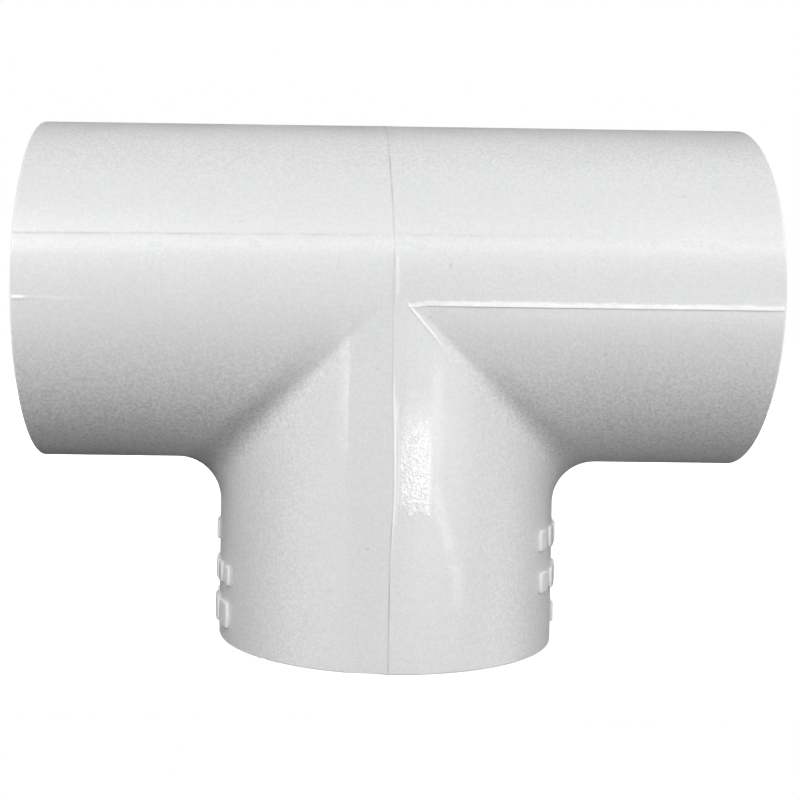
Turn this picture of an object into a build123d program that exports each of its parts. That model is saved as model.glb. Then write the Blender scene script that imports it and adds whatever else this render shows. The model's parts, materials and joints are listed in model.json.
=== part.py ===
from build123d import *
import math
import os

# A white PVC tee for 3/4 in (DN 20) pipe: three equal slip sockets in one moulding.
# Millimetres. The run lies along X, the branch points down, and the tee stands on the
# branch's rim: z = 0 is the rim and the origin is the centre of the branch's mouth.

# --- Driving dimensions -------------------------------------------------------------
OUTER_D = 33.4            # outside of the run and of the branch
CENTRE_TO_END = 34.3      # from the crossing of the axes to each of the three rims
CREASE_R = 4.4            # rolling round where the branch meets the run
BRANCH_UNDERSIZE = 0.05   # the branch's radius is this much less, so the crease closes

PIPE_D = 26.67            # the pipe that goes in
SOCKET_D = PIPE_D + 0.05  # mean of the socket's taper: 26.87 at the mouth, 26.57 at the stop
SOCKET_DEPTH = 20.0       # rim to pipe stop
WATERWAY_D = 22.6         # leaves a stop 2 mm wide for the pipe's end

LEAD_IN_LENGTH = 0.9      # cone that guides the pipe in
LEAD_IN_WIDTH = 0.35      # how much wider the cone is at the rim, on the radius
RIM_ROUND = 0.15          # outer corner of each rim
STOP_ROUND = 0.4          # inner corner of each pipe stop
SHOULDER = 2.0            # how far each socket's region reaches past its stop

MARK_RELIEF = 0.35        # plain raised marks on the two sides of the branch
LEFT_ROWS = (             # middle z, height, count, then pitch and width in degrees
    (10.45, 1.95, 3, 6.0, 4.0),
    (6.65, 2.1, 7, 7.5, 5.0),
    (2.75, 2.85, 4, 13.0, 10.0),
)
RIGHT_ROWS = (
    (10.8, 2.2, 7, 9.9, 6.5),
    (6.75, 2.2, 6, 11.3, 8.0),
    (2.65, 2.1, 3, 7.0, 4.5),
)
MARK_CORNER = 0.5         # corner round, on marks wide enough for it
MARK_CORNER_MAX = 0.45    # and at most this part of a mark's width

SEAM_X = -0.4             # the seam round the tee, a little left of the middle
SEAM_WIDTH = 0.3
SEAM_RELIEF = 0.08

# The fine ridge that a mould insert left on the front of the right half. It starts at a
# corner near the seam. One leg goes along the run and the other follows the crease down.
# Corners are (x, height from the run's axis).
LEDGE_RELIEF = 0.10
LEDGE_TOP = -0.9          # the long leg's upper and lower edges
LEDGE_BOTTOM = -1.45
LEDGE_TAPER_X = 3.0       # the long leg is narrower between the corner and here
LEDGE_CORNER = (0.9, -1.35)
LEDGE_FOOT = (3.5, -4.5)  # where the short leg ends
LEDGE_LEG_WIDTH = 0.3     # width of the short leg

# --- Worked out ---------------------------------------------------------------------
R = OUTER_D / 2
BRANCH_R = R - BRANCH_UNDERSIZE
AXIS_Z = CENTRE_TO_END                       # height of the run's axis
SPLIT = CENTRE_TO_END - SOCKET_DEPTH - SHOULDER  # crossing of the axes to each region's end
BEYOND = 2 * R                               # past the tee on every side
RIM_LENGTH_MIN = 0.99 * 2 * math.pi * BRANCH_R   # only the rims' outer circles are this long
MARK_SINK = 0.2                              # depth of a mark's blank below the surface
CORE_CLEAR = 2.0                             # how far a core reaches out past its rim


def along_x(radius, x_low, x_high):
    """A rod on the run's axis."""
    rod = Cylinder(radius, x_high - x_low, rotation=(0, 90, 0))
    return Pos((x_low + x_high) / 2, 0, AXIS_Z) * rod


def along_z(radius, z_low, z_high):
    """A rod on the branch's axis."""
    return Pos(0, 0, (z_low + z_high) / 2) * Cylinder(radius, z_high - z_low)


def outer_form(grow=0.0):
    """The outside as a solid, with its crease and rims rounded; grow moves the surface out."""
    run = along_x(R + grow, -CENTRE_TO_END, CENTRE_TO_END)
    branch = along_z(BRANCH_R + grow, 0, AXIS_Z)
    form = run + branch
    crease = [e for e in form.edges() if e.geom_type not in (GeomType.CIRCLE, GeomType.LINE)]
    form = fillet(crease, CREASE_R - grow)
    circles = [e for e in form.edges() if e.geom_type == GeomType.CIRCLE]
    rims = [e for e in circles if e.length > RIM_LENGTH_MIN]
    return fillet(rims, RIM_ROUND)


def socket_tool():
    """What one core leaves: lead-in cone and socket, with the mouth at z = 0, going up."""
    lead = Pos(0, 0, LEAD_IN_LENGTH / 2) * Cone(
        SOCKET_D / 2 + LEAD_IN_WIDTH, SOCKET_D / 2, LEAD_IN_LENGTH)
    clear = Pos(0, 0, -CORE_CLEAR / 2) * Cylinder(SOCKET_D / 2 + LEAD_IN_WIDTH, CORE_CLEAR)
    wall = Pos(0, 0, SOCKET_DEPTH / 2) * Cylinder(SOCKET_D / 2, SOCKET_DEPTH)
    throat = Pos(0, 0, SOCKET_DEPTH + STOP_ROUND / 2) * Cone(
        WATERWAY_D / 2 + STOP_ROUND, WATERWAY_D / 2, STOP_ROUND)
    return wall + lead + clear + throat


def moulding():
    """The whole tee as it comes out of the mould."""
    tool = socket_tool()
    branch_core = tool + along_z(WATERWAY_D / 2, 0, AXIS_Z)
    left_core = Pos(-CENTRE_TO_END, 0, AXIS_Z) * Rot(0, 90, 0) * tool
    right_core = Pos(CENTRE_TO_END, 0, AXIS_Z) * Rot(0, -90, 0) * tool
    run_core = along_x(WATERWAY_D / 2, -CENTRE_TO_END, CENTRE_TO_END)
    return outer_form() - branch_core - left_core - right_core - run_core


def prism(points, low=-BEYOND, high=BEYOND):
    """A prism from y = low to high on an outline of (x, height from the run's axis) points."""
    outline = Polyline(*[(x, AXIS_Z + z) for x, z in points], close=True)
    return Pos(0, low, 0) * extrude(make_face(Plane.XZ * outline), high - low, dir=(0, 1, 0))


def regions(tee):
    """The moulding in four regions that meet behind the pipe stops and at 45 degree mitres."""
    far = CENTRE_TO_END + CORE_CLEAR
    centre = prism([(-SPLIT, far), (-SPLIT, -SPLIT), (SPLIT, -SPLIT), (SPLIT, far)])
    left = prism([(-SPLIT, far), (-SPLIT, -SPLIT), (-far, -far), (-far, far)])
    right = prism([(SPLIT, far), (SPLIT, -SPLIT), (far, -far), (far, far)])
    below = prism([(-SPLIT, -SPLIT), (SPLIT, -SPLIT), (far, -far), (-far, -far)])
    return {
        "centre_body": tee & centre,
        "left_socket": tee & left,
        "right_socket": tee & right,
        "branch_socket": tee & below,
    }


def raised_mark(angle, width, z, height):
    """One plain raised block on the branch, at an angle in degrees about the branch."""
    chord = 2 * R * math.sin(math.radians(width) / 2)
    length = MARK_RELIEF + MARK_SINK
    block = Box(length, chord, height)
    corner = min(MARK_CORNER, MARK_CORNER_MAX * chord)
    block = fillet(block.edges().filter_by(Axis.X), corner)
    block = Rot(0, 0, angle) * Pos(BRANCH_R - MARK_SINK + length / 2, 0, z) * block
    return block - along_z(BRANCH_R, 0, AXIS_Z)


def mark_group(side_angle, rows):
    """The three rows of marks on one side of the branch."""
    marks = []
    for z, height, count, pitch, width in rows:
        for i in range(count):
            angle = side_angle + pitch * (i - (count - 1) / 2)
            marks += raised_mark(angle, width, z, height).solids()
    return Compound(children=marks)


def mould_seam(form):
    """The fine raised seam round the tee, in a plane across the run."""
    low = RIM_ROUND - AXIS_Z
    left = SEAM_X - SEAM_WIDTH / 2
    right = SEAM_X + SEAM_WIDTH / 2
    slab = prism([(left, low), (right, low), (right, BEYOND), (left, BEYOND)])
    return (outer_form(SEAM_RELIEF) & slab) - form


def front_ledge(form):
    """The fine ridge along the front of the right half, which turns down the crease."""
    end = CENTRE_TO_END - RIM_ROUND
    corner_x, corner_z = LEDGE_CORNER
    foot_x, foot_z = LEDGE_FOOT
    slope = (foot_x - corner_x) / (corner_z - foot_z)
    across = LEDGE_LEG_WIDTH * math.sqrt(1 + slope ** 2)
    inner_x = corner_x + across - slope * (LEDGE_BOTTOM - corner_z)
    outline = [(end, LEDGE_TOP), (LEDGE_TAPER_X, LEDGE_TOP), LEDGE_CORNER, LEDGE_FOOT,
               (foot_x + across, foot_z), (inner_x, LEDGE_BOTTOM), (end, LEDGE_BOTTOM)]
    return (outer_form(LEDGE_RELIEF) & prism(outline, high=0)) - form


def write(node, shape):
    export_step(shape, f"parts/{node}.step")


def main():
    os.makedirs("parts", exist_ok=True)
    form = outer_form()
    for node, shape in regions(moulding()).items():
        write(node, shape)
    write("left_marks", mark_group(180, LEFT_ROWS))
    write("right_marks", mark_group(0, RIGHT_ROWS))
    write("mould_seam", mould_seam(form))
    write("front_ledge", front_ledge(form))


main()
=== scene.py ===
import bpy
import bmesh
import json
import math
from mathutils import Euler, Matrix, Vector, noise


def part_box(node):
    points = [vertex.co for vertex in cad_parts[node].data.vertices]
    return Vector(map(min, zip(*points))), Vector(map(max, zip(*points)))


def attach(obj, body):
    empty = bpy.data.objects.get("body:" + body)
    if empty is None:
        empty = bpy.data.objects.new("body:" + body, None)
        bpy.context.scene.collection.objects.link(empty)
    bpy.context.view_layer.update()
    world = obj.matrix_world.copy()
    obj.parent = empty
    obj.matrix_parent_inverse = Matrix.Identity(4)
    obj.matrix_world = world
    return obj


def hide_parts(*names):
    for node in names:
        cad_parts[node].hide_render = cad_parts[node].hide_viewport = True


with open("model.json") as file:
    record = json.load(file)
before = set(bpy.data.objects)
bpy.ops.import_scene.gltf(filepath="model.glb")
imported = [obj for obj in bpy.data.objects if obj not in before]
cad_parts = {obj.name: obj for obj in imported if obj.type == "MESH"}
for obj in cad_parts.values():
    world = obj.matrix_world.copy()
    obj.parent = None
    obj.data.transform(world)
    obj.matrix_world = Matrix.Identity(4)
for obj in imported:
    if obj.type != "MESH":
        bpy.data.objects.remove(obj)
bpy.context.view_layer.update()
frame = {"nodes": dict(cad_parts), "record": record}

# A white PVC tee, as it comes out of the mould. Lengths in this script are millimetres
# until they become vertices; MM turns them into metres.
MM = 0.001
FRONT, BACK = -1, 1          # the side of the tee, as a sign on Y
LEFT, RIGHT = -1, 1          # the half of the tee, as a sign on X

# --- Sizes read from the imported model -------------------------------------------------
MOUNTS = {m["name"]: m for m in frame["record"]["mounts"]}
socket_low, socket_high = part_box("left_socket")
R = (socket_high.y - socket_low.y) / 2 / MM                 # outside radius
L = -socket_low.x / MM                                      # crossing of the axes to each rim
AXIS_Z = MOUNTS["left_socket"]["pos_m"][2] / MM             # height of the run's axis
SOCKET_R = MOUNTS["left_socket"]["dims"]["r_mm"]
SOCKET_WALL = MOUNTS["left_socket"]["dims"]["length_mm"]
STOP = -MOUNTS["left_stop"]["pos_m"][0] / MM                # crossing of the axes to each stop
LEAD_IN = L - STOP - SOCKET_WALL                            # length of the cone at the mouth

# --- Sizes of the moulding's finer shape -------------------------------------------------
CREASE_R_FRONT = 1.8         # rolling round between the run and the branch, at the front
CREASE_R_SIDE = 4.4          # and at the two sides
RIM_ROUND = 0.15             # outer corner of a rim
MOUTH_ROUND = 0.15           # inner corner of a rim
MOUTH_R = SOCKET_R + 0.35
WATER_R = 11.3               # waterway
THROAT = 0.4                 # chamfer from the stop into the waterway
EDGE_R = 0.5                 # round where the waterways cross
ARC_STEPS = 7                # steps from the middle of the crease to each tube
EDGE_STEPS = 3


# --- Small helpers ---------------------------------------------------------------------
def graded(*spans):
    """Values from several (start, stop, step) spans, each value once, in order."""
    values = []
    for start, stop, step in spans:
        count = max(1, round((stop - start) / step))
        values += [start + (stop - start) * i / count for i in range(count)]
    return values + [spans[-1][1]]


def smooth(t):
    """0 below 0, 1 above 1 and an even rise between."""
    t = min(1.0, max(0.0, t))
    return t * t * (3 - 2 * t)


def bump(t):
    """A soft bump of height 1 on t from -1 to 1."""
    return (1 - t * t) ** 2 if abs(t) < 1 else 0.0


def between(value, low, high, fade):
    """1 between low and high, falling to 0 over fade outside them."""
    return smooth((value - low) / fade + 1) * smooth((high - value) / fade + 1)


def ripple(x, y, z, size, seed=0.0):
    """Even noise between about -1 and 1, with features of that size in millimetres."""
    return noise.noise(Vector((x / size + seed, y / size - seed, z / size + 2 * seed)))


# --- The tee's base shape ---------------------------------------------------------------
# Two tubes of one radius meet on the planes |x| = drop, where drop is the depth below the
# run's axis. Every patch of the surface is a grid. A row of the grid has a fixed angle
# round its own tube and goes from the crossing out to the rim, over it, into the socket
# and back to the crossing. Its points are (along, drop, side): along its own tube, towards
# the other tube, and out to the front or back.

def crease_radius(angle):
    """Radius of the outer rolling round at one angle round the tube."""
    return CREASE_R_FRONT + (CREASE_R_SIDE - CREASE_R_FRONT) * math.sin(angle) ** 4


def crossing_arc(angle, tube_r, round_r, steps):
    """The rolling round at one angle: points from its middle to where it meets the tube."""
    reach = (tube_r + round_r) * math.sin(angle)
    depth = (tube_r + round_r) * math.cos(angle)
    to_own = Vector((0, -math.sin(angle), -math.cos(angle)))
    to_other = Vector((-reach, 0, -depth)) / (tube_r + round_r)
    spread = to_own.angle(to_other, 0.0)
    points = []
    for i in range(steps + 1):
        t = 0.5 * (1 - i / steps)
        if spread < 1e-9:
            direction = to_own
        else:
            direction = (to_own * math.sin((1 - t) * spread) + to_other * math.sin(t * spread))
            direction = direction / math.sin(spread)
        points.append(Vector((reach, reach, depth)) + direction * round_r)
    return points


def quarter_arc(centre, radius, start, steps):
    """(along, radius) points on a quarter circle, turning from start degrees towards start - 90."""
    points = []
    for i in range(1, steps + 1):
        a = math.radians(start - 90 * i / steps)
        points.append((centre[0] + radius * math.cos(a), centre[1] + radius * math.sin(a)))
    return points


def tube_profile(start, end, stretches):
    """(along, radius, is_outside) from the outside over the rim to the waterway."""
    flat = L - RIM_ROUND
    outside = [(start + (flat - start) * s / stretches[-1], R) for s in stretches]
    rim = quarter_arc((flat, R - RIM_ROUND), RIM_ROUND, 90, 5)
    ring = [(L, (R - RIM_ROUND) * (1 - t) + (MOUTH_R + MOUTH_ROUND) * t) for t in (0.5, 1.0)]
    mouth = quarter_arc((L - MOUTH_ROUND, MOUTH_R + MOUTH_ROUND), MOUTH_ROUND, 0, 3)
    wall_start = L - LEAD_IN
    wall = [(wall_start + 0.15, SOCKET_R + 0.06), (wall_start, SOCKET_R), (wall_start - 0.15, SOCKET_R)]
    wall += [(wall_start - SOCKET_WALL * t, SOCKET_R) for t in (0.15, 0.35, 0.55, 0.75, 0.9, 0.985, 1.0)]
    shoulder_r = WATER_R + THROAT
    shoulder = [(STOP, SOCKET_R - 0.15), (STOP, (SOCKET_R + shoulder_r) / 2), (STOP, shoulder_r + 0.1)]
    throat_end = STOP - THROAT
    throat = [(STOP, shoulder_r), (STOP - 0.1, shoulder_r - 0.1), (throat_end, WATER_R)]
    water = [(throat_end + (end - throat_end) * t, WATER_R) for t in (0.04, 0.2, 0.4, 0.6, 0.8, 1.0)]
    inside = mouth + wall + shoulder + throat + water
    return ([(a, r, 1.0) for a, r in outside] + [(a, r, 1.0) for a, r in rim]
            + [(a, r, 0.0) for a, r in ring + inside])


def crossing_row(angle, stretches):
    """A row that starts and ends in the crossing, as ((along, drop, side), outside) pairs."""
    sin, cos = math.sin(angle), math.cos(angle)
    start = (R + crease_radius(angle)) * sin
    end = (WATER_R + EDGE_R) * sin
    row = [(p, 1.0) for p in crossing_arc(angle, R, crease_radius(angle), ARC_STEPS)]
    for along, radius, outside in tube_profile(start, end, stretches)[1:]:
        row.append((Vector((along, radius * sin, radius * cos)), outside))
    row += [(p, 0.0) for p in reversed(crossing_arc(angle, WATER_R, EDGE_R, EDGE_STEPS)[:-1])]
    return row


def upper_row(angle, stretches):
    """A row of the run's upper half, which reaches the middle of the tee."""
    sin, cos = math.sin(angle), math.cos(angle)
    return [(Vector((along, -radius * sin, radius * cos)), outside)
            for along, radius, outside in tube_profile(0.0, 0.0, stretches)]


class Skin:
    """Collects grid patches into one closed mesh, joining points that coincide."""

    # Per vertex: outside or not, painted highlights, painted shade, the glossy patch and the coarse skin.
    LAYERS = ("outside", "painted_highlight", "painted_shade", "polish", "coarse")

    def __init__(self):
        self.mesh = bmesh.new()
        for name in self.LAYERS:
            self.mesh.verts.layers.float.new(name)
        self.layers = {name: self.mesh.verts.layers.float[name] for name in self.LAYERS}
        self.known = {}

    def vertex(self, x, y, z, outside):
        key = (round(x * 1e4), round(y * 1e4), round(z * 1e4))
        if key not in self.known:
            v = self.mesh.verts.new((x * MM, y * MM, z * MM))
            v[self.layers["outside"]] = outside
            self.known[key] = v
        return self.known[key]

    def patch(self, rows, place):
        """A grid of rows; place turns a point of a row into x, y and z."""
        grid = [[self.vertex(*place(p), outside) for p, outside in row] for row in rows]
        for upper, lower in zip(grid, grid[1:]):
            for i in range(len(upper) - 1):
                corners = []
                for v in (upper[i], upper[i + 1], lower[i + 1], lower[i]):
                    if v not in corners:
                        corners.append(v)
                if len(corners) > 2 and not self.mesh.faces.get(corners):
                    self.mesh.faces.new(corners)


# How far apart the grid's lines are, in millimetres: close together where there is fine detail.
RUN_ALONG = {
    LEFT: graded((0, 1.0, 0.06), (1.0, 32.0, 0.55), (32.0, L - 0.3, 0.3), (L - 0.3, L - RIM_ROUND, 0.08)),
    RIGHT: graded((0, 0.5, 0.06), (0.5, L - 0.3, 0.55), (L - 0.3, L - RIM_ROUND, 0.08)),
}
BRANCH_ALONG = graded((0, 0.9, 0.05), (0.9, L - 1.5, 0.5), (L - 1.5, L - 0.3, 0.2),
                      (L - 0.3, L - RIM_ROUND, 0.08))
QUARTER = R * math.pi / 2
LEDGE_ARC = 1.42             # the ledge's lower edge, from the middle of the front down
EDGE_GAP = 0.015
AROUND = {
    (RIGHT, FRONT): graded((0, 0.6, 0.06), (0.6, LEDGE_ARC, 0.055), (LEDGE_ARC, LEDGE_ARC + EDGE_GAP, 1),
                           (LEDGE_ARC + EDGE_GAP, 2.4, 0.06), (2.4, QUARTER, 0.45)),
    (LEFT, FRONT): graded((0, 0.6, 0.045), (0.6, 1.6, 0.08), (1.6, 4.2, 0.4), (4.2, 4.9, 0.07),
                          (4.9, QUARTER, 0.45)),
    (RIGHT, BACK): graded((0, 0.6, 0.08), (0.6, QUARTER, 0.6)),
    (LEFT, BACK): graded((0, 1.0, 0.08), (1.0, QUARTER, 0.6)),
}
OVER_TOP = graded((0, 2.5, 0.35), (2.5, 3.2, 0.1), (3.2, 4.5, 0.3), (4.5, 5.6, 0.06), (5.6, 2 * QUARTER, 0.5))


def base_skin():
    """The whole tee without its fine lines."""
    skin = Skin()
    for side_x in (LEFT, RIGHT):
        rows = [upper_row(arc / R, RUN_ALONG[side_x]) for arc in OVER_TOP]
        skin.patch(rows, lambda p: (side_x * p.x, -p.z, AXIS_Z - p.y))
        for side_y in (FRONT, BACK):
            angles = [arc / R for arc in AROUND[side_x, side_y]]
            rows = [crossing_row(a, RUN_ALONG[side_x]) for a in angles]
            skin.patch(rows, lambda p: (side_x * p.x, side_y * p.z, AXIS_Z - p.y))
            rows = [crossing_row(a, BRANCH_ALONG) for a in angles]
            skin.patch(rows, lambda p: (side_x * p.y, side_y * p.z, AXIS_Z - p.x))
    bmesh.ops.recalc_face_normals(skin.mesh, faces=skin.mesh.faces)
    return skin


# --- Fine lines that the mould left --------------------------------------------------------
# Each height function gives millimetres above the base shape at x, y and z, where z is
# measured from the run's axis. All of them but the seam are on the front only.
SEAM_X = -0.40
SEAM_CREST, SEAM_HALF = 0.045, 0.12           # height and half width of its thin crest
SEAM_SWELL, SWELL_HALF = 0.015, 0.6           # and of the low swell under it
LEDGE_Z = -R * math.sin(LEDGE_ARC / R)        # the ledge's lower edge
LEDGE_START_X = 0.9                           # its corner by the seam
LEDGE_DIP = -0.2                              # how far its lower edge dips at the corner
LEDGE_FACE, LEDGE_FACE_RISE = 0.44, 0.115     # width and height of its sloping face
LEDGE_TAIL, LEDGE_TAIL_RISE = 0.75, 0.02      # the gentle rise above the face
BEAD_RISE, BEAD_HALF = 0.07, 0.20             # bead down the right-hand crease
BEAD_SLOPE = 1.14                             # how steeply it goes down
BEAD_FULL_X, BEAD_END_X = 3.2, 4.3            # where it starts to fade, and where it ends
STEP_RISE, STEP_WIDTH = 0.03, 0.14            # long step above the middle of the run
BAND_HALF, BAND_DEPTH = 0.85, 0.020           # flat band below the step
FLAT_X, FLAT_HALF = -2.45, 1.95               # middle and half width of the branch's flat strip
FLAT_DEPTH = 0.095
FLAT_EDGE_X = -4.3                            # the strip's left edge, where a highlight is painted
POLISH_X = (0.45, 2.95)                       # sides of the glossy patch
POLISH_END_Z, POLISH_FULL_Z = -19.4, -15.0    # its lower end, and where it starts to fade upward
STREAK_X, STREAK_LOW_X = 3.6, 5.8             # pale streak down the branch: upper and lower ends
SHORT_BEAD_X, SHORT_BEAD_Z = (-34.0, -33.1), -1.2
SHORT_BEAD_RISE, SHORT_BEAD_HALF = 0.08, 0.26
NICK_X, NICK_Z = -11.85, -32.9
NICK_RISE = 0.07
# How strong the painted shade beside each crease is, on each half.
CREASE_SHADE = {LEFT: 0.6, RIGHT: 0.3}


def seam_offset(x, y, z):
    """Distance to the right of the seam, which wanders a little."""
    lean = -0.033 * max(0.0, z - 4.0) + 0.24 * bump((z + 16.5) / 9.0)
    return x - SEAM_X - lean - 0.03 * ripple(x, y, z, 9.0, 3.1)


def seam_height(x, y, z):
    """The raised seam round the tee: a thin crest on a broad low swell."""
    t = seam_offset(x, y, z)
    strength = 0.8 + 0.5 * ripple(x, y, z, 5.0, 7.7)
    return strength * (SEAM_CREST * bump(t / SEAM_HALF) + SEAM_SWELL * bump(t / SWELL_HALF))


def ledge_offset(x, z):
    """Height above the ledge's lower edge, which dips at the corner."""
    return z - LEDGE_Z - LEDGE_DIP * (1 - smooth((x - LEDGE_START_X) / 2.4))


def ledge_strength(x):
    """The ledge grows from its corner and dies out just before the rim."""
    ends = smooth((x - LEDGE_START_X + 0.1) / 0.25) * smooth((L - x) / 0.4)
    return ends * (0.45 + 0.55 * smooth((x - LEDGE_START_X) / 6.0))


def ledge_height(x, y, z):
    """The ledge on the right half: a slope that rises to a crest, then drops."""
    if y > 0 or x < LEDGE_START_X - 0.2:
        return 0.0
    t = ledge_offset(x, z) + EDGE_GAP / 3
    if t < 0:
        return 0.0
    width = LEDGE_FACE * (1 + 0.45 * ripple(x, 0, 0, 1.5, 5.3))
    face = max(0.0, 1 - t / width)
    tail = max(0.0, 1 - t / (LEDGE_FACE + LEDGE_TAIL)) ** 2
    return ledge_strength(x) * (LEDGE_FACE_RISE * face + LEDGE_TAIL_RISE * tail)


def bead_shape(x, y, z):
    """1 on the bead that follows the first part of the right-hand crease."""
    if y > 0 or x < LEDGE_START_X - 0.3 or x > BEAD_END_X:
        return 0.0
    across = (z - LEDGE_Z - LEDGE_DIP + BEAD_SLOPE * (x - LEDGE_START_X - 0.15)) / math.hypot(1, BEAD_SLOPE)
    start = smooth((x - LEDGE_START_X + 0.1) / 0.15)
    return start * smooth((BEAD_END_X - x) / (BEAD_END_X - BEAD_FULL_X)) * bump(across / BEAD_HALF)


def bead_height(x, y, z):
    return BEAD_RISE * bead_shape(x, y, z)


def step_z(x):
    """The long step above the middle of the run climbs a little to the right."""
    return 4.82 + 0.0075 * x + 0.03 * ripple(x, 0, 0, 4.0, 9.1)


def step_height(x, y, z):
    """The long shallow step, and the flat band below it."""
    if y > 0:
        return 0.0
    strength = 0.35 + 0.65 * smooth((12 - x) / 30) + 0.35 * ripple(x, 0, 0, 6.0, 1.7)
    t = z - step_z(x)
    step = STEP_RISE * smooth(t / STEP_WIDTH + 0.5) * smooth(1 - t / 5.0)
    band = -BAND_DEPTH * max(0.0, 1 - ((t + BAND_HALF) / BAND_HALF) ** 2)
    return strength * step + band


def flat_height(x, y, z):
    """The flat strip on the front of the branch, left of the seam."""
    if y > 0:
        return 0.0
    t = (x - FLAT_X) / FLAT_HALF
    return -FLAT_DEPTH * max(0.0, 1 - t * t) * smooth((-z - 3.5) / 3.0)


def short_bead_shape(x, y, z):
    """1 on the short bead by the left rim, with a trace of it further in."""
    if y > 0 or x > -20:
        return 0.0
    along = between(x, *SHORT_BEAD_X, 0.3) + 0.2 * between(x, SHORT_BEAD_X[1], -29.5, 3.0)
    return along * bump((z - SHORT_BEAD_Z) / SHORT_BEAD_HALF)


def short_bead_height(x, y, z):
    return SHORT_BEAD_RISE * short_bead_shape(x, y, z)


def nick_height(x, y, z):
    """A small nick by the branch's rim."""
    if y > 0:
        return 0.0
    low = smooth((NICK_Z - z) / 0.6)
    return low * NICK_RISE * (bump((x - NICK_X + 0.2) / 0.25) - bump((x - NICK_X - 0.15) / 0.2))


def polish(x, y, z):
    """1 on the glossy wrinkled patch of the branch, right of the seam."""
    if y > 0:
        return 0.0
    inside = between(x, *POLISH_X, 0.12)
    fade_up = smooth((POLISH_FULL_Z - z) / 6.5 + 1.0)
    ragged_end = POLISH_END_Z - 1.8 * ripple(x, 0, z, 0.9, 8.2)
    return inside * fade_up * smooth((z - ragged_end) / 0.7 + 1)


def flow_line_highlights(x, z):
    """Thin painted highlights down the branch between the seam and the glossy patch."""
    inside = between(x, SEAM_X + 0.25, POLISH_X[0], 0.08)
    lines = max(0.0, 2.2 * ripple(3.5 * x, 0, 0.12 * z, 0.7, 2.6))
    return inside * lines * between(z, -19.0, -12.0, 3.0)


def waviness(x, y, z):
    """Slow unevenness from cooling, and the wrinkles of the glossy patch."""
    slow = 0.012 * ripple(x, y, z, 9.0) + 0.004 * ripple(x, y, z, 3.2, 4.4)
    return slow + 0.006 * polish(x, y, z) ** 3 * ripple(x, y, z, 0.9, 2.2)


HEIGHTS = (seam_height, ledge_height, bead_height, step_height, flat_height,
           short_bead_height, nick_height, waviness)


# Painted highlight on the rounded outer corner of each rim.
def rim_highlight(x, z):
    return 0.9 * smooth((max(abs(x), -z) - L + RIM_ROUND) / RIM_ROUND + 0.4)


def ledge_highlight(x, z):
    """Painted highlight on the ledge's sloping face, a little ragged."""
    if x <= LEDGE_START_X:
        return 0.0
    t = ledge_offset(x, z)
    top = LEDGE_FACE * (1.15 + 0.5 * ripple(x, 0, 0, 0.9, 6.1))
    face = smooth((top - t) / 0.2) * smooth((t + EDGE_GAP) / 0.06 + 1)
    return (0.75 + 0.35 * ledge_strength(x)) * face * (0.95 + 0.5 * ripple(x, 0, z, 0.8, 3.3))


def seam_highlight(x, y, z):
    """A thin painted highlight right of the seam, down the upper half of the branch."""
    on_branch = between(z, -20.0, -10.5, 4.0) * (0.8 + 0.8 * ripple(0, 0, z, 1.2, 4.4))
    return 1.6 * on_branch * bump((seam_offset(x, y, z) - 0.12) / 0.09)


def pinch_highlight(x, y, z):
    """A short painted highlight right of the seam, at the middle of the run."""
    return bump((seam_offset(x, y, z) - 0.3) / 0.15) * between(z, -0.3, 2.8, 0.3)


def flat_edge_highlight(x, z):
    """Painted highlight on the left edge of the flat strip: sharp outside, fading inwards."""
    inward = FLAT_EDGE_X + 0.08 * ripple(0, 0, z, 3.0, 1.9) - x
    return 0.72 * smooth(inward / 0.1 + 1) * max(0.0, 1 - inward / 1.5) ** 2 * between(z, -12.0, -5.2, 4.0)


def streak_reflection(x, z):
    """A painted reflection: the soft streak that drifts to the right down the branch."""
    path = STREAK_X + (STREAK_LOW_X - STREAK_X) * smooth((-z - 17.0) / 10.0)
    return 0.42 * bump((x - path) / 0.8) * between(z, -26.0, -9.0, 4.0)


def painted_highlight_amount(x, y, z):
    """Painted highlights and reflections: how much whiter the plastic is painted on thin raised edges, beads,
    soft streaks, the glossy patch, the band below the step and the rims.
    """
    rim = rim_highlight(x, z)
    if y > 0:
        return rim
    shine = polish(x, y, z)
    # Painted sheen on the glossy patch, painted highlights on its flow lines and a painted reflection streak.
    glossy = 0.4 * shine + 0.9 * shine ** 3 + flow_line_highlights(x, z) + streak_reflection(x, z)
    # Painted highlights on the crease bead and the short bead.
    bead_highlights = 1.6 * bead_shape(x, y, z) + 1.2 * short_bead_shape(x, y, z)
    # Painted reflection on the flat band below the step.
    band = 0.2 * bump((z - step_z(x)) / BAND_HALF + 1)
    highlights_by_seam = seam_highlight(x, y, z) + pinch_highlight(x, y, z)
    edge_highlights = ledge_highlight(x, z) + flat_edge_highlight(x, z)
    return min(1.0, rim + edge_highlights + bead_highlights + highlights_by_seam + glossy + band)


def painted_shade(x, y, z):
    """Painted shade: how much darker the plastic is painted along the seam, the step and the creases."""
    # A thin line of painted shade along the seam, weaker over the middle of the front and fading high on the
    # front of the run.
    hairline = bump((seam_offset(x, y, z) + 0.02) / 0.11)
    gap = between(z, -20.0, 1.5, 1.2) if y < 0 else 0.0
    high = 0.55 * smooth((abs(z) - 11.5) / 2.0) if z > 0 and y < 0 else 0.0
    patchy = 0.75 + 0.5 * ripple(x, y, z, 2.5, 6.6)
    # A broken line of painted shade along the long step.
    step = 0.0
    if y < 0:
        broken = max(0.0, 0.6 + 1.1 * ripple(x, 0, 0, 2.6, 4.1))
        step = 0.28 * broken * bump((z - step_z(x)) / 0.16) * smooth((20 - x) / 25)
    return hairline * (1 - 0.65 * gap) * (1 - high) * patchy + step + crease_shade(x, z)


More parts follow.
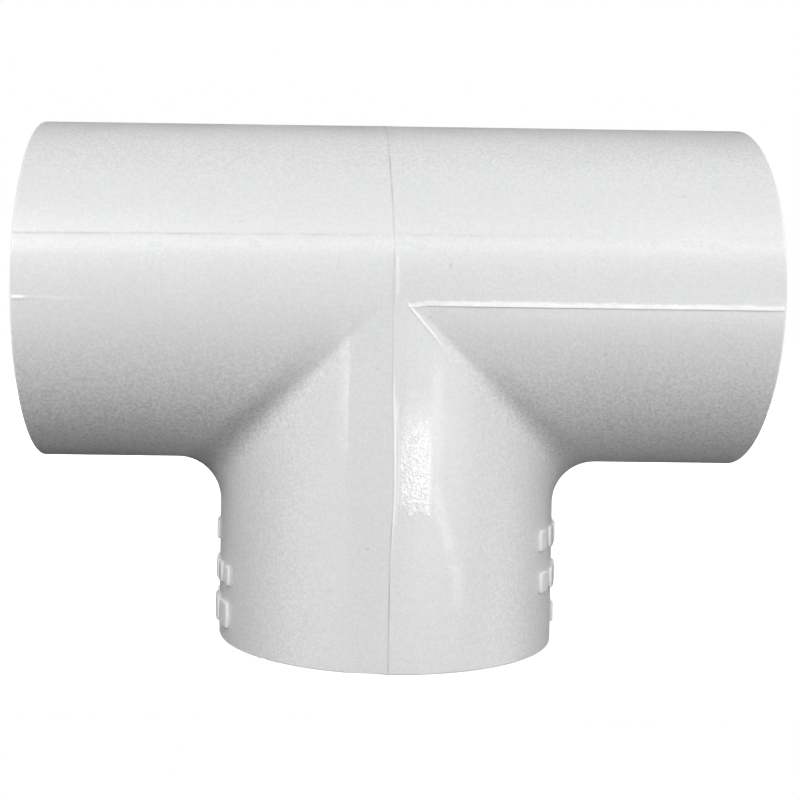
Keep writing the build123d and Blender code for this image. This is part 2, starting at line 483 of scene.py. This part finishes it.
def crease_shade(x, z):
    """Painted shade in the groove beside each crease, on the run's side, more on the left."""
    from_crease = (abs(x) + z) / math.sqrt(2)
    most = CREASE_SHADE[LEFT if x < 0 else RIGHT]
    return most * smooth((abs(x) - 5.5) / 8.0) * bump((from_crease - 0.8) / 2.2)


def coarseness(x, z):
    """How coarse the plastic's skin is: most low on the run and in the creases."""
    under_run = smooth((-z - 2.0) / 13.0) * smooth((abs(x) + z + 3.0) / 3.0)
    on_top = 0.35 * smooth((z - 8.0) / 6.0)
    branch_sides = 0.25 * smooth((abs(x) - 5.0) / 5.0) * smooth((-z - abs(x)) / 3.0)
    return under_run + on_top + branch_sides


def add_fine_lines(skin):
    """Moves every outside vertex along its normal and writes how its plastic looks, with its painted
    highlights and painted shade.
    """
    layers = skin.layers
    skin.mesh.normal_update()
    moves = []
    for v in skin.mesh.verts:
        if v[layers["outside"]] > 0:
            x, y, z = v.co.x / MM, v.co.y / MM, v.co.z / MM - AXIS_Z
            moves.append((v, v.normal * sum(h(x, y, z) for h in HEIGHTS) * MM))
            v[layers["painted_highlight"]] = painted_highlight_amount(x, y, z)
            v[layers["painted_shade"]] = painted_shade(x, y, z)
            v[layers["polish"]] = polish(x, y, z)
            v[layers["coarse"]] = coarseness(x, z)
    for v, move in moves:
        v.co += move


def tee_moulding():
    """One closed skin for the whole moulding."""
    skin = base_skin()
    add_fine_lines(skin)
    mesh = bpy.data.meshes.new("tee_moulding")
    skin.mesh.to_mesh(mesh)
    skin.mesh.free()
    mesh.shade_smooth()
    mesh.set_sharp_from_angle(angle=math.radians(40))
    piece = bpy.data.objects.new("tee_moulding", mesh)
    bpy.context.collection.objects.link(piece)
    return piece


# --- Raised marks ----------------------------------------------------------------------------
MARK_SINK = 0.06             # how far a mark's foot is below the branch's surface
MARK_GRID = 18
# How strongly the tops of the marks are painted with a highlight.
MARK_TOP_HIGHLIGHT = 1.0


def mark_boxes(node):
    """Each raised block of a CAD node as (angle, half angle, middle z, half height, top radius)."""
    copy = bmesh.new()
    copy.from_mesh(frame["nodes"][node].data)
    bmesh.ops.remove_doubles(copy, verts=copy.verts, dist=0.002 * MM)
    left = set(copy.verts)
    boxes = []
    while left:
        island, queue = set(), [left.pop()]
        while queue:
            v = queue.pop()
            island.add(v)
            near = {e.other_vert(v) for e in v.link_edges} & left
            left -= near
            queue += near
        side = RIGHT if sum(v.co.x for v in island) > 0 else LEFT
        angles = [math.atan2(v.co.y, side * v.co.x) for v in island]
        heights = [v.co.z / MM for v in island]
        top = max(math.hypot(v.co.x, v.co.y) for v in island) / MM
        boxes.append((side, (min(angles) + max(angles)) / 2, (max(angles) - min(angles)) / 2,
                      (min(heights) + max(heights)) / 2, (max(heights) - min(heights)) / 2, top))
    copy.free()
    return sorted(boxes, key=lambda b: (round(b[3], 2), b[1]))


def raised_marks(node):
    """Plain rounded blocks in place of a CAD node's, standing on the branch."""
    mesh = bmesh.new()
    for name in ("painted_highlight", "painted_shade"):
        mesh.verts.layers.float.new(name)
    painted_highlight, painted_shade_layer = mesh.verts.layers.float["painted_highlight"], mesh.verts.layers.float["painted_shade"]
    for side, angle, half_angle, z, half_height, top in mark_boxes(node):
        foot, relief = R - MARK_SINK, top - R + MARK_SINK
        grid = []
        for i in range(MARK_GRID + 1):
            u = math.sin(math.pi / 2 * (2 * i / MARK_GRID - 1))
            row = []
            for j in range(MARK_GRID + 1):
                v = math.sin(math.pi / 2 * (2 * j / MARK_GRID - 1))
                squeeze = 1 - 0.16 * (u * v) ** 2
                edge = max(abs(u), abs(v))
                rise = relief * (1 - edge ** 14) ** 0.5
                a = angle + half_angle * u * squeeze
                radius = foot + rise
                vertex = mesh.verts.new((side * radius * math.cos(a) * MM, radius * math.sin(a) * MM,
                                         (z + half_height * v * squeeze) * MM))
                # Each mark's top is painted with a highlight, and its foot with painted shade.
                vertex[painted_highlight] = MARK_TOP_HIGHLIGHT * smooth(rise / relief * 1.3)
                vertex[painted_shade_layer] = 0.6 * (1 - smooth(rise / relief * 2))
                row.append(vertex)
            grid.append(row)
        for i in range(MARK_GRID):
            for j in range(MARK_GRID):
                mesh.faces.new((grid[i][j], grid[i + 1][j], grid[i + 1][j + 1], grid[i][j + 1]))
        edge_loop = ([grid[i][0] for i in range(MARK_GRID)] + [grid[MARK_GRID][j] for j in range(MARK_GRID)]
                     + [grid[i][MARK_GRID] for i in range(MARK_GRID, 0, -1)]
                     + [grid[0][j] for j in range(MARK_GRID, 0, -1)])
        mesh.faces.new(edge_loop)
    bmesh.ops.recalc_face_normals(mesh, faces=mesh.faces)
    data = bpy.data.meshes.new(node + "_rounded")
    mesh.to_mesh(data)
    mesh.free()
    data.shade_smooth()
    piece = bpy.data.objects.new(node + "_rounded", data)
    bpy.context.collection.objects.link(piece)
    return piece


# --- Material -------------------------------------------------------------------------------
class Nodes:
    """Short ways to add and join shader nodes."""

    def __init__(self, material):
        material.use_nodes = True
        self.tree = material.node_tree
        self.shader = self.tree.nodes["Principled BSDF"]

    def add(self, kind, **settings):
        node = self.tree.nodes.new(kind)
        for name, value in settings.items():
            setattr(node, name, value)
        return node

    def feed(self, socket, value):
        if isinstance(value, bpy.types.NodeSocket):
            self.tree.links.new(value, socket)
        else:
            socket.default_value = value

    def math(self, operation, a, b=0.0, clamp=False):
        node = self.add("ShaderNodeMath", operation=operation, use_clamp=clamp)
        self.feed(node.inputs[0], a)
        self.feed(node.inputs[1], b)
        return node.outputs[0]

    def remap(self, value, low, high, to_low, to_high):
        node = self.add("ShaderNodeMapRange", interpolation_type="SMOOTHSTEP")
        for socket, number in zip(node.inputs, (value, low, high, to_low, to_high)):
            self.feed(socket, number)
        return node.outputs[0]

    def noise(self, place, size, detail=2.0, roughness=0.5):
        node = self.add("ShaderNodeTexNoise")
        self.feed(node.inputs["Vector"], place)
        self.feed(node.inputs["Scale"], 1 / (size * MM))
        self.feed(node.inputs["Detail"], detail)
        self.feed(node.inputs["Roughness"], roughness)
        return node.outputs["Fac"]

    def mix(self, amount, a, b, blend="MIX"):
        node = self.add("ShaderNodeMix", data_type="RGBA", blend_type=blend, clamp_result=True)
        self.feed(node.inputs[0], amount)
        self.feed(node.inputs[6], a)
        self.feed(node.inputs[7], b)
        return node.outputs[2]


WHITE_LOW = (0.79, 0.795, 0.795, 1)           # the two ends of the plastic's clouding
WHITE_HIGH = (0.82, 0.825, 0.825, 1)
WHITE_HIGHLIGHT = (0.985, 0.985, 0.985, 1)         # painted highlights on thin edges, beads, streaks, rims and the tops of the marks
WRINKLE_SHADE = (0.74, 0.745, 0.745, 1)       # painted shade along the wrinkles of the glossy patch
FLECK = (0.30, 0.29, 0.28, 1)
# Colour of the painted shade along the seam, the step, the creases and the feet of the marks.
PAINTED_SHADE_COLOUR = (0.28, 0.27, 0.26, 1)


def pvc_colour(n, place, look, wrinkle):
    """White with faint clouding, a few flecks, painted shade, painted highlights, painted shade in the
    wrinkles of the glossy patch and a fine grain.
    """
    colour = n.mix(n.noise(place, 7.0, detail=3.0), WHITE_LOW, WHITE_HIGH)
    fleck = n.remap(n.noise(place, 0.7, detail=0.0), 0.87, 0.89, 0.0, 0.2)
    colour = n.mix(fleck, colour, FLECK)
    # Painted shade along the seam, the step, the creases and the feet of the marks.
    colour = n.mix(n.math("MULTIPLY", look["painted_shade"], 0.55, clamp=True), colour, PAINTED_SHADE_COLOUR)
    # Painted highlights on thin edges, beads, streaks, the glossy patch, the rims and the tops of the marks.
    colour = n.mix(look["painted_highlight"], colour, WHITE_HIGHLIGHT)
    # Painted shade along the wrinkles of the glossy patch.
    from_middle = n.math("ABSOLUTE", n.math("SUBTRACT", wrinkle, 0.5))
    line = n.math("MULTIPLY", n.remap(from_middle, 0.0, 0.06, 1.0, 0.0), look["polish"])
    colour = n.mix(n.math("MULTIPLY", line, 0.6), colour, WRINKLE_SHADE)
    grain = n.noise(place, 0.27, detail=2.0, roughness=0.65)
    swing = n.math("ADD", n.math("MULTIPLY", look["coarse"], 0.20), 0.045)
    grainy = n.remap(grain, 0.2, 0.8, n.math("SUBTRACT", 1.0, swing), n.math("ADD", 1.0, swing))
    return n.mix(1.0, colour, n.math("MINIMUM", grainy, 1.1), blend="MULTIPLY")


def pvc_roughness(n, place, look):
    """Satin, smoother on the glossy patch and on thin edges."""
    rough = n.remap(n.noise(place, 4.0, detail=4.0), 0.3, 0.7, 0.28, 0.36)
    rough = n.math("SUBTRACT", rough, n.math("MULTIPLY", look["polish"], 0.18))
    return n.math("SUBTRACT", rough, n.math("MULTIPLY", look["painted_highlight"], 0.10))


def pvc_relief(n, place, look, wrinkle):
    """Orange peel, a slower unevenness and the wrinkles of the glossy patch, in millimetres."""
    peel_height = n.math("ADD", n.math("MULTIPLY", look["coarse"], 0.06), 0.022)
    peel = n.math("MULTIPLY", n.noise(place, 0.24, detail=2.0, roughness=0.6), peel_height)
    height = n.math("ADD", peel, n.math("MULTIPLY", n.noise(place, 2.4, detail=2.0), 0.008))
    wrinkles = n.math("MULTIPLY", n.math("MULTIPLY", wrinkle, look["polish"]), 0.06)
    relief = n.add("ShaderNodeBump")
    n.feed(relief.inputs["Strength"], 1.0)
    n.feed(relief.inputs["Distance"], MM)
    n.feed(relief.inputs["Height"], n.math("ADD", height, wrinkles))
    return relief.outputs[0]


def white_pvc():
    """Moulded white PVC."""
    material = bpy.data.materials.new("white_pvc_moulded")
    n = Nodes(material)
    place = n.add("ShaderNodeTexCoord").outputs["Object"]
    look = {name: n.add("ShaderNodeAttribute", attribute_name=name).outputs["Fac"]
            for name in ("painted_highlight", "painted_shade", "polish", "coarse")}
    wrinkle = n.noise(place, 0.26, detail=1.0)
    n.feed(n.shader.inputs["Base Color"], pvc_colour(n, place, look, wrinkle))
    n.feed(n.shader.inputs["Roughness"], pvc_roughness(n, place, look))
    n.feed(n.shader.inputs["Normal"], pvc_relief(n, place, look, wrinkle))
    n.feed(n.shader.inputs["IOR"], 1.53)
    n.feed(n.shader.inputs["Specular IOR Level"], n.math("ADD", 0.5, n.math("MULTIPLY", look["polish"], 0.5)))
    n.feed(n.shader.inputs["Subsurface Weight"], 0.06)
    n.feed(n.shader.inputs["Subsurface Radius"], (0.0012, 0.0011, 0.0010))
    n.feed(n.shader.inputs["Subsurface Scale"], 1.0)
    return material


# --- Stage, lights and camera --------------------------------------------------------------------
def matt_white(name, colour):
    """A matt material that glows white; returns it with its nodes, for the glow's strength."""
    material = bpy.data.materials.new(name)
    n = Nodes(material)
    n.feed(n.shader.inputs["Base Color"], colour)
    n.feed(n.shader.inputs["Roughness"], 0.9)
    n.feed(n.shader.inputs["Specular IOR Level"], 0.0)
    n.feed(n.shader.inputs["Emission Color"], (1, 1, 1, 1))
    return material, n


def hide_from_light(obj):
    """The stage throws no light on the tee, and lets the light of the low panels through."""
    obj.visible_diffuse = False
    obj.visible_glossy = False
    obj.visible_transmission = False
    obj.visible_shadow = False


def floor():
    """A whitish floor whose glow is painted light: dimmer near the tee and brighter away from it, so that it
    runs into the backdrop.
    """
    bpy.ops.mesh.primitive_circle_add(vertices=96, radius=3.0, fill_type="NGON")
    obj = bpy.context.object
    obj.name = "floor"
    material, n = matt_white("floor_white", (0.9, 0.9, 0.9, 1))
    distance = n.add("ShaderNodeVectorMath", operation="LENGTH")
    n.feed(distance.inputs[0], n.add("ShaderNodeTexCoord").outputs["Object"])
    glow = n.remap(distance.outputs["Value"], 0.02, 0.16, 0.62, 1.0)
    n.feed(n.shader.inputs["Emission Strength"], glow)
    obj.data.materials.append(material)
    hide_from_light(obj)


def backdrop():
    """A white dome, seen only by the camera."""
    bpy.ops.mesh.primitive_uv_sphere_add(segments=48, ring_count=24, radius=3.0)
    obj = bpy.context.object
    obj.name = "backdrop"
    material, n = matt_white("backdrop_white", (0, 0, 0, 1))
    n.feed(n.shader.inputs["Emission Strength"], 1.0)
    obj.data.materials.append(material)
    hide_from_light(obj)


# Soft panels round the tee: name, azimuth and elevation in degrees from the front, width
# and height in millimetres, and power in watts. The one behind makes no reflections, so the
# tee's edges stay dark against the backdrop.
PANELS = (
    ("upper_left", -40, 32, 390, 210, 1.27),
    ("upper_middle", 10, 32, 390, 210, 0.44),
    ("upper_right", 56, 32, 430, 210, 0.88),
    ("low_left", -50, -12, 500, 120, 0.48),
    ("low_right", 30, -7, 400, 40, 0.54),
    ("low_far_right", 80, -26, 260, 260, 0.46),
    ("low_far_left", -75, -32, 260, 200, 0.12),
    ("over_back", 180, 60, 300, 200, 0.105),
    ("over_right", 75, 68, 260, 200, 0.08),
    ("behind", 180, 25, 900, 200, 2.2),
)
UNREFLECTED = "behind"
PANEL_DISTANCE = 500


def lights():
    for name, azimuth, elevation, width, height, power in PANELS:
        data = bpy.data.lights.new(name, "AREA")
        data.shape = "RECTANGLE"
        data.size, data.size_y = width * MM, height * MM
        data.energy = power
        light = bpy.data.objects.new(name, data)
        turn, lift = math.radians(azimuth), math.radians(elevation)
        out = Vector((math.sin(turn) * math.cos(lift), -math.cos(turn) * math.cos(lift), math.sin(lift)))
        light.location = (out * PANEL_DISTANCE + Vector((0, 0, AXIS_Z))) * MM
        light.rotation_euler = (-out).to_track_quat("-Z", "Y").to_euler()
        light.visible_camera = False
        light.visible_glossy = name != UNREFLECTED
        bpy.context.collection.objects.link(light)


def surroundings():
    world = bpy.data.worlds.new("soft_room")
    bpy.context.scene.world = world
    world.use_nodes = True
    background = world.node_tree.nodes["Background"]
    background.inputs["Color"].default_value = (1, 1, 1, 1)
    background.inputs["Strength"].default_value = 0.01


def camera():
    data = bpy.data.cameras.new("camera")
    data.lens = 56.33
    data.shift_x, data.shift_y = 0.095, -0.0525
    obj = bpy.data.objects.new("camera", data)
    obj.location = Vector((-6.9, -127.14, AXIS_Z - 3.14)) * MM
    obj.rotation_euler = Euler([math.radians(a) for a in (88.433, -0.794, -0.183)])
    bpy.context.collection.objects.link(obj)
    bpy.context.scene.camera = obj


# --- Put it together -------------------------------------------------------------------------------
pvc = white_pvc()
body = tee_moulding()
body.data.materials.append(pvc)
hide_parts("centre_body", "left_socket", "right_socket", "branch_socket", "mould_seam", "front_ledge")
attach(body, "root")

for node in ("left_marks", "right_marks"):
    marks = raised_marks(node)
    marks.data.materials.append(pvc)
    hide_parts(node)
    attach(marks, "root")

floor()
backdrop()
lights()
surroundings()
camera()
bpy.context.scene.view_settings.view_transform = "Standard"
